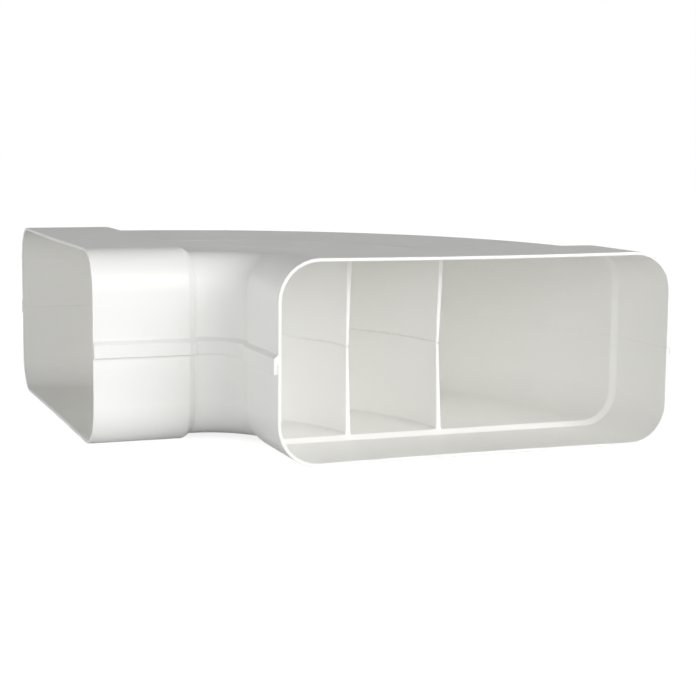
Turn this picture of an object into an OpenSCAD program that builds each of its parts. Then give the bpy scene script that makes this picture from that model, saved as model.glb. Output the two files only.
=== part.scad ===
// Flat duct bend: a quarter turn for flat ventilation duct, moulded as two half shells.
// Each shell carries half of the two guide vanes, and the upper shell's lip laps the lower one.
// The two sockets open towards -Y and -X, and the part lies on the undersides of its sockets.

/* [Duct] */
// Outside width of the duct that the sockets take
duct_w = 152; // [120:1:220]
// Outside height of that duct
duct_h = 70; // [55:1:90]
// Outside corner radius of that duct
duct_corner = 13.5; // [8:0.5:20]

/* [Sockets] */
// Clearance between the duct and the socket, on each side
duct_gap = 0.3; // [0.1:0.05:1]
// Wall thickness of both shells
wall = 1.2; // [0.9:0.1:1.8]
// Length of duct that each socket takes
socket_depth = 36.1; // [20:0.1:60]
// How far the stop shoulder steps in from the socket's wall
stop_step = 1.8; // [1.2:0.1:3]
// Length over which the shoulder slopes in
stop_run = 2.4; // [2:0.1:8]

/* [Bend] */
// Outside radius of the throat, the bend's inner wall
throat_r = 16.3; // [10:0.1:40]

/* [Lip] */
// How far the upper shell's band stands out from the side walls
lip_out = 1.6; // [1:0.1:2.5]
// How far the lip hangs below the seam
lip_drop = 2.7; // [1.5:0.1:6]
// How much further it hangs on the throat's half next to the -Y socket
lip_step = 0.7; // [0.2:0.1:1.5]
// Height of the band's straight face above the seam
lip_rise = 2.2; // [1:0.1:6]
// Height of the slope on top of the band
lip_slope = 1.3; // [0.5:0.1:3]
// Clearance between the lip and the lower shell
lip_gap = 0.15; // [0.1:0.05:0.4]

/* [Vanes] */
// Distance of the inner vane from the outside of the throat wall
inner_vane_at = 38.7; // [25:0.1:50]
// Distance of the outer vane from the outside of the throat wall
outer_vane_at = 76; // [60:0.1:110]
// How far the inner vane leans towards the throat at the seam
inner_lean = 0.7; // [0:0.1:1.5]
// How far the outer vane leans towards the throat at the seam
outer_lean = 1.2; // [0:0.1:2]
// Thickness of a half vane at the seam
vane_tip = 1.1; // [0.8:0.1:1.5]
// Thickness of a half vane at its root
vane_root = 1.9; // [1.6:0.1:3]
// Gap between the half vanes at the seam
vane_gap = 0.3; // [0.1:0.05:1]
// Width of the sink groove over each vane
groove_w = 2.4; // [1:0.1:4]
// Depth of that groove
groove_deep = 0.4; // [0.1:0.05:0.6]

/* [Hidden] */
$fn = 96;

// Sections at the socket and at the bend, outside
socket_w = duct_w + 2 * (duct_gap + wall);
socket_h = duct_h + 2 * (duct_gap + wall);
socket_corner = duct_corner + duct_gap + wall;
bend_w = socket_w - 2 * stop_step;
bend_h = socket_h - 2 * stop_step;
bend_corner = socket_corner - stop_step;

// Radii from the bend's centre, and the seam's height above the floor
mid_r = throat_r + bend_w / 2;
outer_r = throat_r + bend_w;
seam_z = socket_h / 2;
mouth = stop_run + socket_depth;
vane_radii = [throat_r + inner_vane_at, throat_r + outer_vane_at];
vane_leans = [inner_lean, outer_lean];

// The model is centred on its plan box, from the mouths to the band on the outer walls
plan_mid = (outer_r + stop_step + lip_out - mouth) / 2;

// Length that a cut runs past the solid it cuts, and a reach beyond the whole part
over = 1;
reach = 2 * (outer_r + mouth);
// Slant of the stop's slope
stop_angle = atan(stop_step / stop_run);
// How far the band's bars reach into the duct, in whole widths of the band
band_in = stop_step + wall + over;
band_spans = ceil(band_in / lip_out);
slant_spans = ceil((band_in + mouth * stop_step / stop_run) / lip_out);

// A rectangle with round corners, centred
module round_rect(w, h, r) {
    square([w - 2 * r, h], center = true);
    square([w, h - 2 * r], center = true);
    for (x = [-1, 1], z = [-1, 1]) translate([x * (w / 2 - r), z * (h / 2 - r)]) circle(r);
}

// The stop's slope as a solid block along +Z, from the socket's section to the bend's
module stop_block(w, h, r) {
    flat_w = w - 2 * r;
    flat_h = h - 2 * r;
    rotate([90, 0, 90]) linear_extrude(flat_w, center = true) slope_outline(h);
    rotate([90, 0, 0]) linear_extrude(flat_h, center = true) slope_outline(w);
    for (x = [-1, 1], y = [-1, 1]) translate([x * flat_w / 2, y * flat_h / 2])
        cylinder(h = stop_run, r1 = r, r2 = r - stop_step);
}

module slope_outline(size) {
    polygon([
        [-size / 2, 0], [size / 2, 0],
        [size / 2 - stop_step, stop_run], [-size / 2 + stop_step, stop_run]
    ]);
}

// The -Y socket and its stop as one solid bar, with its skin moved in by inset
module socket_bar(inset, past) {
    w = socket_w - 2 * inset;
    h = socket_h - 2 * inset;
    r = socket_corner - inset;
    translate([mid_r, -stop_run, seam_z]) {
        rotate([90, 0, 0]) linear_extrude(socket_depth + past) round_rect(w, h, r);
        rotate([-90, 0, 0]) stop_block(w, h, r);
    }
}

// The same shape at the other end of the bend
module both_ends() {
    children();
    mirror([1, -1, 0]) children();
}

// The whole bend as a solid bar, with its skin moved in by inset
module duct_bar(inset, past = 0) {
    both_ends() socket_bar(inset, past);
    translate([0, 0, seam_z]) rotate_extrude(angle = 90) translate([mid_r, 0])
        round_rect(bend_w - 2 * inset, bend_h - 2 * inset, bend_corner - inset);
}

// Everything above or below the seam
module seam_half(side) {
    intersection() {
        children();
        translate([0, 0, seam_z + side * reach / 2]) cube(reach, center = true);
    }
}

// Half vanes, from a root inside the wall to a thin edge at the seam
module half_vanes(side) {
    root = bend_h / 2 - wall / 2;
    tip = vane_gap / 2;
    for (i = [0, 1]) {
        root_r = vane_radii[i];
        tip_r = root_r - vane_leans[i];
        translate([0, 0, seam_z]) rotate_extrude(angle = 90) polygon([
            [root_r - vane_root / 2, side * root], [root_r + vane_root / 2, side * root],
            [tip_r + vane_tip / 2, side * tip], [tip_r - vane_tip / 2, side * tip]
        ]);
    }
}

// Sink grooves in the outside of the wall, over the vanes
module sink_grooves(side) {
    skin = bend_h / 2;
    for (r = vane_radii) translate([0, 0, seam_z]) rotate_extrude(angle = 90) polygon([
        [r - groove_w / 2, side * skin], [r, side * (skin - groove_deep)],
        [r + groove_w / 2, side * skin], [r, side * (skin + over)]
    ]);
}

// Section of the band, outwards from the side wall and up from the seam. It is carried inwards by
// whole spans of its own width, so that its slope keeps round numbers. Widths are multiplied by
// across, which is less than 1 where the wall runs at a slant.
module band_outline(spans, across = 1) {
    inside = -spans * lip_out * across;
    outside = lip_out * across;
    low = -lip_drop - lip_step;
    polygon([
        [inside, low], [outside, low], [outside, lip_rise],
        [inside, lip_rise + lip_slope * (1 + spans)]
    ]);
}

// A bar with the band's face, along one side wall of the -Y socket and its stop.
// Side is -1 by the throat and 1 on the outer wall.
module socket_band(side) {
    wall_x = side > 0 ? outer_r : throat_r;
    translate([wall_x, 0, seam_z]) mirror([side < 0 ? 1 : 0, 0, 0]) intersection() {
        translate([stop_step, 0]) rotate([90, 0, 0]) linear_extrude(mouth) band_outline(band_spans);
        rotate([0, 0, stop_angle]) rotate([90, 0, 0]) linear_extrude(reach, center = true)
            band_outline(slant_spans, cos(stop_angle));
    }
}

// The same bar along one curved wall of the bend
module bend_band(side) {
    wall_r = side > 0 ? outer_r : throat_r;
    translate([0, 0, seam_z]) rotate_extrude(angle = 90) translate([wall_r, 0])
        mirror([side < 0 ? 1 : 0, 0]) band_outline(band_spans);
}

module bands() {
    for (side = [-1, 1]) {
        both_ends() socket_band(side);
        bend_band(side);
    }
}

// What the lip loses below its shorter drop: all but the throat's half by the -Y socket
module lip_trim() {
    cut_h = lip_step + over;
    translate([0, 0, seam_z - lip_drop - cut_h]) linear_extrude(cut_h) difference() {
        square(2 * reach, center = true);
        polygon([[0, 0], [mid_r, mid_r], [mid_r, -reach], [0, -reach]]);
    }
}

module upper_walls() {
    difference() {
        union() {
            seam_half(1) duct_bar(0);
            bands();
        }
        duct_bar(wall, over);
        seam_half(-1) duct_bar(-lip_gap, over);
        lip_trim();
    }
}

module lower_walls() {
    difference() {
        seam_half(-1) duct_bar(0);
        duct_bar(wall, over);
    }
}

// One shell: its walls, its half vanes and the sink grooves, above the seam (1) or below it (-1)
module shell(side) {
    color("white") translate([-plan_mid, -plan_mid, 0]) difference() {
        union() {
            children();
            half_vanes(side);
        }
        sink_grooves(side);
    }
}

module upper_shell() {
    shell(1) upper_walls();
}

module lower_shell() {
    shell(-1) lower_walls();
}

upper_shell();
lower_shell();
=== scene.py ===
import math

import bpy
import numpy as np
from mathutils import Matrix


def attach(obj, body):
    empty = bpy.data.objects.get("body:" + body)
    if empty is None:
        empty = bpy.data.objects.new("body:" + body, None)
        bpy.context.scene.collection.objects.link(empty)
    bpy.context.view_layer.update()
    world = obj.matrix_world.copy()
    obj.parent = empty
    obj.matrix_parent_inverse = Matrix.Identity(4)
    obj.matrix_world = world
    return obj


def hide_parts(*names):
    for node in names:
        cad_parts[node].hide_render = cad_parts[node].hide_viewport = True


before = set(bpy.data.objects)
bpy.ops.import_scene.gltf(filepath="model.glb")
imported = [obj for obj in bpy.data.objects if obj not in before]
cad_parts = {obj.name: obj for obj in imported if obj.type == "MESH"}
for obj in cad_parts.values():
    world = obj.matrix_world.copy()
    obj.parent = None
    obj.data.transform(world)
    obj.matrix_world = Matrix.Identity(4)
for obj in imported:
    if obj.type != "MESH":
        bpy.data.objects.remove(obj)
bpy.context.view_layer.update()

MM = 0.001


# Duct path. Both shells are one section carried through the front socket, round the quarter bend and
# out through the left socket. Lengths are millimetres: rho outwards from the bend's centre, z from the
# seam, and t outwards from the bend's two end planes. The plan box is centred on the model's origin.
socket_width = 155.0
socket_height = 73.0
socket_corner = 15.0
wall = 1.2
throat_radius = 16.3
stop_step = 1.8
stop_run = 2.4
mouth = 38.5
bend_centre = -66.3
seam_height = socket_height / 2
inner_side = throat_radius - stop_step
outer_side = inner_side + socket_width
middle = (inner_side + outer_side) / 2


def outline(corners, radii, steps=8, support=0.08):
    """Closed outline through the corners, with its outward normals.

    Each corner is turned by an arc of its own radius that is tangent to both of its sides: the arc's
    centre lies one radius off the first tangent point, and its points lie one radius from that centre
    along a normal that turns evenly. A short straight stands before and after each arc, so that the
    flats shade as flats. Corners run anticlockwise round the material, and a corner that turns
    clockwise is a hollow. A corner of radius 0 on a straight only adds a point there.
    """
    corners = np.asarray(corners, float)
    radii = np.asarray(radii, float)[:, None]
    ahead = np.roll(corners, -1, axis=0) - corners
    ahead /= np.linalg.norm(ahead, axis=1, keepdims=True)
    arriving = np.roll(ahead, 1, axis=0)
    turn = np.arctan2(
        arriving[:, 0] * ahead[:, 1] - arriving[:, 1] * ahead[:, 0], (arriving * ahead).sum(axis=1)
    )[:, None]
    start = corners - arriving * radii * np.tan(np.abs(turn) / 2)
    angle = turn * np.linspace(0, 1, steps + 1)
    first = np.stack([arriving[:, 1], -arriving[:, 0]], axis=1)
    normal = np.stack([
        first[:, :1] * np.cos(angle) - first[:, 1:] * np.sin(angle),
        first[:, :1] * np.sin(angle) + first[:, 1:] * np.cos(angle),
    ], axis=2)
    bulge = (np.sign(turn) * radii)[:, :, None]
    arc = start[:, None] - bulge * first[:, None] + bulge * normal
    straight = np.where(radii > 0, support, 0)[:, :, None]
    points = np.concatenate([
        arc[:, :1] - arriving[:, None] * straight, arc, arc[:, -1:] + ahead[:, None] * straight
    ], axis=1).reshape(-1, 2)
    normals = np.concatenate([normal[:, :1], normal, normal[:, -1:]], axis=1).reshape(-1, 2)
    apart = np.linalg.norm(points - np.roll(points, 1, axis=0), axis=1) > 1e-6
    return points[apart], normals[apart]


def wall_normals(points):
    """Direction from the nearest point of the rounded section's core to each point."""
    core = np.array([socket_width, socket_height]) / 2 - socket_corner
    offset = points - [middle, 0]
    out = offset - np.clip(offset, -core, core)
    return out / np.linalg.norm(out, axis=1, keepdims=True)


def eased(x, width=0.4):
    """A ramp that is 0 below 0 and x above it, with a parabola between -width and width."""
    return np.where(np.abs(x) < width, (x + width) ** 2 / (4 * width), np.maximum(x, 0))


def stations(edge=0.2):
    """Rows of (turn, t, shrink), from the front rim round the bend to the left rim.

    At each rim the section shrinks by edge * (1 - cos a) while it moves out by edge * sin a, which is
    a quarter round. The points of the stop's slope are closest where the slope starts and ends.
    """
    a = np.radians(np.linspace(0, 90, 6))
    rim_t = np.concatenate([[mouth - edge - 0.1], mouth - edge + edge * np.sin(a), [mouth]])
    rim_shrink = np.concatenate([[0], edge * (1 - np.cos(a)), [edge + 0.03]])
    socket_t = np.linspace(stop_run + 1, mouth - edge - 1, 12)
    near_corner = np.array([0.6, 0.4, 0.2, 0, -0.2, -0.4])
    slope_t = np.concatenate([stop_run + near_corner, near_corner])
    t = np.concatenate([rim_t[::-1], socket_t[::-1], slope_t])
    shrink = np.concatenate([rim_shrink[::-1], np.zeros(len(socket_t) + len(slope_t))])
    bend = np.radians(np.linspace(1.5, 88.5, 59))
    turn = np.concatenate([np.zeros(len(t)), bend, np.full(len(t), math.pi / 2)])
    t = np.concatenate([t, np.zeros(len(bend)), t[::-1]])
    shrink = np.concatenate([shrink, np.zeros(len(bend)), shrink[::-1]])
    return np.stack([turn, t, shrink], axis=1)


def placed(rho, z, turn, t):
    """Model coordinates in metres: rho turned about the bend's centre, then t outwards at each end."""
    front_t = np.where(turn < math.pi / 4, t, 0)
    left_t = np.where(turn < math.pi / 4, 0, t)
    x = rho * np.cos(turn) - left_t + bend_centre
    y = rho * np.sin(turn) - front_t + bend_centre
    return np.stack(np.broadcast_arrays(x, y, z + seam_height), axis=-1) * MM


def tube_faces(rows, columns):
    """Corner numbers and face starts of a grid that closes round its columns, with a cap at each end."""
    row, column = np.meshgrid(np.arange(rows - 1), np.arange(columns), indexing="ij")
    right = (column + 1) % columns
    quads = np.stack([
        row * columns + column, (row + 1) * columns + column,
        (row + 1) * columns + right, row * columns + right
    ], axis=-1).reshape(-1, 4)
    first_cap = np.arange(columns)
    last_cap = ((rows - 1) * columns + np.arange(columns))[::-1]
    numbers = np.concatenate([quads.ravel(), first_cap, last_cap])
    starts = np.concatenate([np.arange(len(quads) + 1) * 4, [len(quads) * 4 + columns]])
    return numbers, starts


def moulding(name, grids):
    """One object from several closed grids of points."""
    points = []
    numbers = []
    starts = []
    for grid in grids:
        tube_numbers, tube_starts = tube_faces(*grid.shape[:2])
        numbers.append(tube_numbers + sum(len(p) for p in points))
        starts.append(tube_starts + sum(len(n) for n in numbers[:-1]))
        points.append(grid.reshape(-1, 3))
    points = np.concatenate(points)
    numbers = np.concatenate(numbers)
    starts = np.concatenate(starts)
    mesh = bpy.data.meshes.new(name)
    mesh.vertices.add(len(points))
    mesh.vertices.foreach_set("co", points.ravel())
    mesh.loops.add(len(numbers))
    mesh.loops.foreach_set("vertex_index", numbers.astype(np.int32))
    mesh.polygons.add(len(starts))
    mesh.polygons.foreach_set("loop_start", starts.astype(np.int32))
    mesh.update(calc_edges=True)
    mesh.validate()
    mesh.shade_smooth()
    piece = bpy.data.objects.new(name, mesh)
    bpy.context.collection.objects.link(piece)
    return piece


# Walls of a shell. Each shell is one injection moulding of white plastic, 1.2 mm thick, with soft
# edges, a narrow sink groove over each vane, and wide faces that pull in a little at the rims.
edge_round = 0.25
vane_radii = np.array([55.0, 92.3])
groove_depth = 0.42
groove_half = 1.3
rim_bow = 0.35


def face_columns(z, order, grooves=()):
    """Extra outline corners along a wide face at height z: even ones for its bow, close ones for grooves.

    Order is 1 where the outline passes them away from the throat, and -1 where it comes back.
    """
    even = middle + np.linspace(-0.9, 0.9, 11) * (socket_width / 2 - socket_corner)
    close = [radius + np.linspace(-1, 1, 9) * groove_half for radius in grooves]
    rho = np.sort(np.concatenate([even, *close]))
    return np.stack([rho, np.full(len(rho), z)], axis=1)[::order]


def shell_walls(corners, radii, lip=None):
    """Points of one shell's walls: the section at every station.

    The section moves in along the walls' normals by the stop's step, which eases from 0 in a socket
    to its full depth in the bend. A groove is a raised cosine across the vane's radius, and a rim's
    bow is a parabola across the width that fades from the rim to the stop.
    """
    section, edges = outline(corners, radii)
    turn, t, shrink = stations().T[:, :, None]
    inset = stop_step / stop_run * (eased(stop_run - t) - eased(-t))
    out = wall_normals(section)
    rho = section[:, 0] - inset * out[:, 0] - shrink * edges[:, 0]
    z = section[:, 1] - inset * out[:, 1] - shrink * edges[:, 1]
    if lip is not None:
        z = z - lip(section, turn)
    outside = (edges * out).sum(axis=1) > 0.99
    flat = np.abs(out[:, 1]) > 0.99
    across = np.clip((section[:, None, 0] - vane_radii) / groove_half, -1, 1)
    groove = groove_depth * (0.5 + 0.5 * np.cos(math.pi * across)).sum(axis=1) * outside * flat
    in_bend = np.where((turn > 0) & (turn < math.pi / 2), 1, np.clip(-t / 0.4, 0, 1))
    width_share = (section[:, 0] - middle) / (socket_width / 2 - socket_corner)
    bow = rim_bow * np.clip(1 - width_share ** 2, 0, 1) * flat
    z = z - np.sign(section[:, 1]) * (groove * in_bend + bow * np.clip(t / mouth, 0, 1) ** 2)
    return placed(rho, z, turn, t)


# Half vanes. The two guide vanes in the duct are moulded with the shells, half on each. A half vane
# is thickest at its root, where a fillet joins it to the wall, and it leans towards the throat.
vane_leans = np.array([0.7, 1.2])
vane_tip = 1.1
vane_root = 1.9
vane_gap = 0.3
root_fillet = 0.9


def half_vane(side, radius, lean):
    """Points of a half vane: a tapered section turned through the bend, with rounded front edges."""
    wall_z = socket_height / 2 - stop_step - wall + 0.05
    tip = radius - lean
    right_side = np.array([
        [tip + vane_tip / 2, vane_gap / 2],
        [radius + vane_root / 2, wall_z],
        [radius + vane_root / 2 + 2 * root_fillet, wall_z],
        [radius + vane_root / 2 + 2 * root_fillet, wall_z + wall / 2],
    ])
    left_side = right_side[::-1] + [-vane_root, 0]
    left_side[-1, 0] = tip - vane_tip / 2
    left_side[0, 0] = left_side[1, 0] = radius - vane_root / 2 - 2 * root_fillet
    left_side[2, 0] = radius - vane_root / 2
    corners = np.concatenate([right_side, left_side])
    radii = np.array([0.45, root_fillet, 0.1, 0.1, 0.1, 0.1, root_fillet, 0.45])
    if side < 0:
        corners = corners[::-1] * [1, -1]
        radii = radii[::-1]
    section, edges = outline(corners, radii)
    a = np.radians(np.linspace(0, 90, 6))
    edge = 0.35
    # The end's flat stands this far past the round, so that the two never share a point at the root.
    end_step = 0.01
    t = np.concatenate([-edge * (1 - np.sin(a)) - end_step, [0]])[::-1]
    shrink = np.concatenate([edge * (1 - np.cos(a)), [edge + 0.05]])[::-1]
    bend = np.radians(np.linspace(1.5, 88.5, 59))
    turn = np.concatenate([np.zeros(len(t)), bend, np.full(len(t), math.pi / 2)])[:, None]
    t = np.concatenate([t, np.zeros(len(bend)), t[::-1]])[:, None]
    shrink = np.concatenate([shrink, np.zeros(len(bend)), shrink[::-1]])[:, None]
    shrink = shrink * np.clip((wall_z - np.abs(section[:, 1])) / root_fillet, 0, 1)
    return placed(section[:, 0] - shrink * edges[:, 0], section[:, 1] - shrink * edges[:, 1], turn, t)


# White plastic. The real mouldings are white plastic, probably PVC, with a satin surface: fine tool
# polish, slow waves from the flow of the melt, and slightly duller and rougher patches.
def white_plastic(name, colour):
    material = bpy.data.materials.new(name)
    material.use_nodes = True
    nodes = material.node_tree.nodes
    links = material.node_tree.links
    surface = nodes["Principled BSDF"]
    surface.inputs["IOR"].default_value = 1.5
    place = nodes.new("ShaderNodeTexCoord").outputs["Object"]

    def noise(scale, detail, roughness):
        node = nodes.new("ShaderNodeTexNoise")
        node.inputs["Scale"].default_value = scale
        node.inputs["Detail"].default_value = detail
        node.inputs["Roughness"].default_value = roughness
        links.new(place, node.inputs["Vector"])
        return node.outputs["Fac"]

    def ramp(value, low, high, low_colour, high_colour):
        node = nodes.new("ShaderNodeValToRGB")
        node.color_ramp.elements[0].position = low
        node.color_ramp.elements[0].color = (*low_colour, 1)
        node.color_ramp.elements[1].position = high
        node.color_ramp.elements[1].color = (*high_colour, 1)
        links.new(value, node.inputs["Fac"])
        return node.outputs["Color"]

    duller = tuple(0.98 * c for c in colour)
    links.new(ramp(noise(22, 4, 0.55), 0.3, 0.7, duller, colour), surface.inputs["Base Color"])
    links.new(ramp(noise(45, 6, 0.6), 0.35, 0.65, (0.32,) * 3, (0.42,) * 3), surface.inputs["Roughness"])

    waves = nodes.new("ShaderNodeBump")
    waves.inputs["Strength"].default_value = 0.25
    waves.inputs["Distance"].default_value = 0.0006
    links.new(noise(60, 2, 0.5), waves.inputs["Height"])
    polish = nodes.new("ShaderNodeBump")
    polish.inputs["Strength"].default_value = 0.12
    polish.inputs["Distance"].default_value = 0.00004
    links.new(noise(1800, 3, 0.6), polish.inputs["Height"])
    links.new(waves.outputs["Normal"], polish.inputs["Normal"])
    links.new(polish.outputs["Normal"], surface.inputs["Normal"])
    return material


plastic = white_plastic("white_plastic", (0.95, 0.948, 0.93))


# Lower shell. The bottom half of the bend, one white moulding: a plain seam edge all along both
# sides, which slips inside the upper shell's lip, and the lower halves of both vanes.
def lower_shell_piece():
    low = -socket_height / 2
    floor = low + wall
    inside = face_columns(floor, -1)
    outside = face_columns(low, 1, vane_radii)
    corners = np.concatenate([
        [[outer_side, 0], [outer_side - wall, 0], [outer_side - wall, floor]],
        inside,
        [[inner_side + wall, floor], [inner_side + wall, 0], [inner_side, 0], [inner_side, low]],
        outside,
        [[outer_side, low]],
    ])
    thin = edge_round
    inner_corner = socket_corner - wall
    radii = [
        thin, thin, inner_corner, *[0] * len(inside), inner_corner,
        thin, thin, socket_corner, *[0] * len(outside), socket_corner
    ]
    grids = [shell_walls(corners, radii)]
    for radius, lean in zip(vane_radii, vane_leans):
        grids.append(half_vane(-1, radius, lean))
    piece = moulding("lower_shell_moulding", grids)
    piece.data.materials.append(plastic)
    return piece


lower_shell = lower_shell_piece()
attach(lower_shell, "root")
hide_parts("lower_shell")


# Upper shell. The top half, one white moulding: along both sides a band stands out from the wall and
# hangs over the seam as a lip, with a slope on top. The lip hangs lower on one half of the throat.
lip_out = 1.6
lip_drop = 2.7
lip_extra = 0.7
lip_rise = 2.2
lip_slope = 1.3
lip_gap = 0.15


def extra_drop(section, turn):
    """What the lip's lower edge gains on the throat's half next to the front socket."""
    below = np.clip(-section[:, 1] / lip_drop, 0, 1) * (section[:, 0] < middle)
    return lip_extra * below * (turn < math.pi / 4)


def upper_shell_piece():
    top = socket_height / 2
    roof = top - wall
    slope_z = lip_rise + lip_slope
    outside = face_columns(top, -1, vane_radii)
    inside = face_columns(roof, 1)
    corners = np.concatenate([
        [[outer_side + lip_out, -lip_drop], [outer_side + lip_out, lip_rise], [outer_side, slope_z]],
        [[outer_side, top]],
        outside,
        [[inner_side, top], [inner_side, slope_z], [inner_side - lip_out, lip_rise]],
        [[inner_side - lip_out, -lip_drop], [inner_side - lip_gap, -lip_drop], [inner_side - lip_gap, 0]],
        [[inner_side + wall, 0], [inner_side + wall, roof]],
        inside,
        [[outer_side - wall, roof], [outer_side - wall, 0]],
        [[outer_side + lip_gap, 0], [outer_side + lip_gap, -lip_drop]],
    ])
    thin = edge_round
    inner_corner = socket_corner - wall
    radii = [
        thin, thin, 0.5, socket_corner, *[0] * len(outside), socket_corner, 0.5, thin,
        thin, thin, 0.1, thin, inner_corner, *[0] * len(inside), inner_corner, thin, 0.1, thin
    ]
    grids = [shell_walls(corners, radii, extra_drop)]
    for radius, lean in zip(vane_radii, vane_leans):
        grids.append(half_vane(1, radius, lean))
    piece = moulding("upper_shell_moulding", grids)
    piece.data.materials.append(plastic)
    return piece


upper_shell = upper_shell_piece()
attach(upper_shell, "root")
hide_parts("upper_shell")


# Studio. A pale floor that goes to white for the camera and keeps the object's soft shadow, a white
# surround, and one wide lamp beside the camera.
def pale_floor():
    mesh = bpy.data.meshes.new("floor")
    half = 6.0
    corners = [(-half, -half, 0), (half, -half, 0), (half, half, 0), (-half, half, 0)]
    mesh.from_pydata(corners, [], [(0, 1, 2, 3)])
    floor = bpy.data.objects.new("floor", mesh)
    bpy.context.collection.objects.link(floor)
    material = bpy.data.materials.new("pale_floor")
    material.use_nodes = True
    nodes = material.node_tree.nodes
    links = material.node_tree.links
    surface = nodes["Principled BSDF"]
    surface.inputs["Base Color"].default_value = (0.65, 0.65, 0.65, 1)
    surface.inputs["Roughness"].default_value = 0.9
    surface.inputs["Specular IOR Level"].default_value = 0
    glow = nodes.new("ShaderNodeEmission")
    glow.inputs["Color"].default_value = (0.8, 0.8, 0.8, 1)
    light_path = nodes.new("ShaderNodeLightPath")
    links.new(light_path.outputs["Is Camera Ray"], glow.inputs["Strength"])
    both = nodes.new("ShaderNodeAddShader")
    links.new(surface.outputs["BSDF"], both.inputs[0])
    links.new(glow.outputs["Emission"], both.inputs[1])
    links.new(both.outputs["Shader"], nodes["Material Output"].inputs["Surface"])
    mesh.materials.append(material)
    return floor


pale_floor()


def studio_surround(ceiling, band, band_top):
    """White for camera rays, a light tent with a dark ceiling for reflections and for soft light.

    Reflections see the same white up to the backdrop's top edge, which lies just above the camera's
    frame, and the ceiling beyond it. Soft light comes from a bright band round the horizon, which
    falls smoothly to the ceiling at the height whose sine is band_top.
    """
    world = bpy.data.worlds.new("surround")
    bpy.context.scene.world = world
    world.use_nodes = True
    nodes = world.node_tree.nodes
    links = world.node_tree.links
    direction = nodes.new("ShaderNodeSeparateXYZ")
    links.new(nodes.new("ShaderNodeTexCoord").outputs["Generated"], direction.inputs["Vector"])
    light_path = nodes.new("ShaderNodeLightPath")

    def fade(low_edge, high_edge, below, above):
        node = nodes.new("ShaderNodeMapRange")
        node.interpolation_type = "SMOOTHSTEP"
        node.inputs["From Min"].default_value = low_edge
        node.inputs["From Max"].default_value = high_edge
        node.inputs["To Min"].default_value = below
        node.inputs["To Max"].default_value = above
        links.new(direction.outputs["Z"], node.inputs["Value"])
        return node.outputs["Result"]

    def chosen(ray, otherwise, seen=None):
        """What one kind of ray sees, which is plain white where nothing else is given."""
        node = nodes.new("ShaderNodeMix")
        node.data_type = "FLOAT"
        node.inputs["B"].default_value = 1
        links.new(light_path.outputs[ray], node.inputs["Factor"])
        links.new(otherwise, node.inputs["A"])
        if seen is not None:
            links.new(seen, node.inputs["B"])
        return node.outputs["Result"]

    backdrop = fade(0.09, 0.22, 1.0, ceiling)
    strength = chosen("Is Glossy Ray", fade(0, band_top, band, ceiling), backdrop)
    strength = chosen("Is Transmission Ray", strength, backdrop)
    strength = chosen("Is Camera Ray", strength)
    background = nodes["Background"]
    background.inputs["Color"].default_value = (1, 1, 1, 1)
    links.new(strength, background.inputs["Strength"])


studio_surround(ceiling=0.12, band=3.4, band_top=0.45)


def soft_lamp(name, azimuth, elevation, distance, width, height, level):
    """A lamp that faces the object. Level is what it adds to a white surface turned to it."""
    lamp = bpy.data.lights.new(name, "AREA")
    lamp.shape = "RECTANGLE"
    lamp.size = width
    lamp.size_y = height
    lamp.energy = level * math.pi ** 2 * distance ** 2
    piece = bpy.data.objects.new(name, lamp)
    bpy.context.collection.objects.link(piece)
    a = math.radians(azimuth)
    e = math.radians(elevation)
    out = np.array([math.cos(e) * math.cos(a), math.cos(e) * math.sin(a), math.sin(e)])
    side = np.array([-math.sin(a), math.cos(a), 0])
    rows = np.stack([side, np.cross(out, side), out], axis=1)
    turned = Matrix(rows.tolist()).to_4x4()
    turned.translation = (out * distance + [0, 0, seam_height * MM]).tolist()
    piece.matrix_world = turned


soft_lamp("front_lamp", azimuth=-70, elevation=24, distance=2.4, width=1.6, height=1.0, level=0.46)


# Camera. It stands where the photograph was taken from.
def photo_camera():
    lens = bpy.data.cameras.new("photo_camera")
    lens.sensor_width = 36
    lens.lens = 82.39
    lens.clip_start = 0.01
    camera = bpy.data.objects.new("photo_camera", lens)
    bpy.context.collection.objects.link(camera)
    right = (0.93532769, -0.35366283, 0.00920436)
    up = (0.03875868, 0.12829559, 0.99097831)
    back = (-0.35165307, -0.9265327, 0.13370592)
    turned = Matrix([right, up, back]).transposed().to_4x4()
    turned.translation = (-0.22110, -0.61814, 0.11559)
    camera.matrix_world = turned
    bpy.context.scene.camera = camera


photo_camera()
bpy.context.scene.view_settings.view_transform = "Standard"
# Inside a white duct, light passes from wall to wall many times before it fades.
bpy.context.scene.cycles.diffuse_bounces = 12
bpy.context.scene.cycles.max_bounces = 16
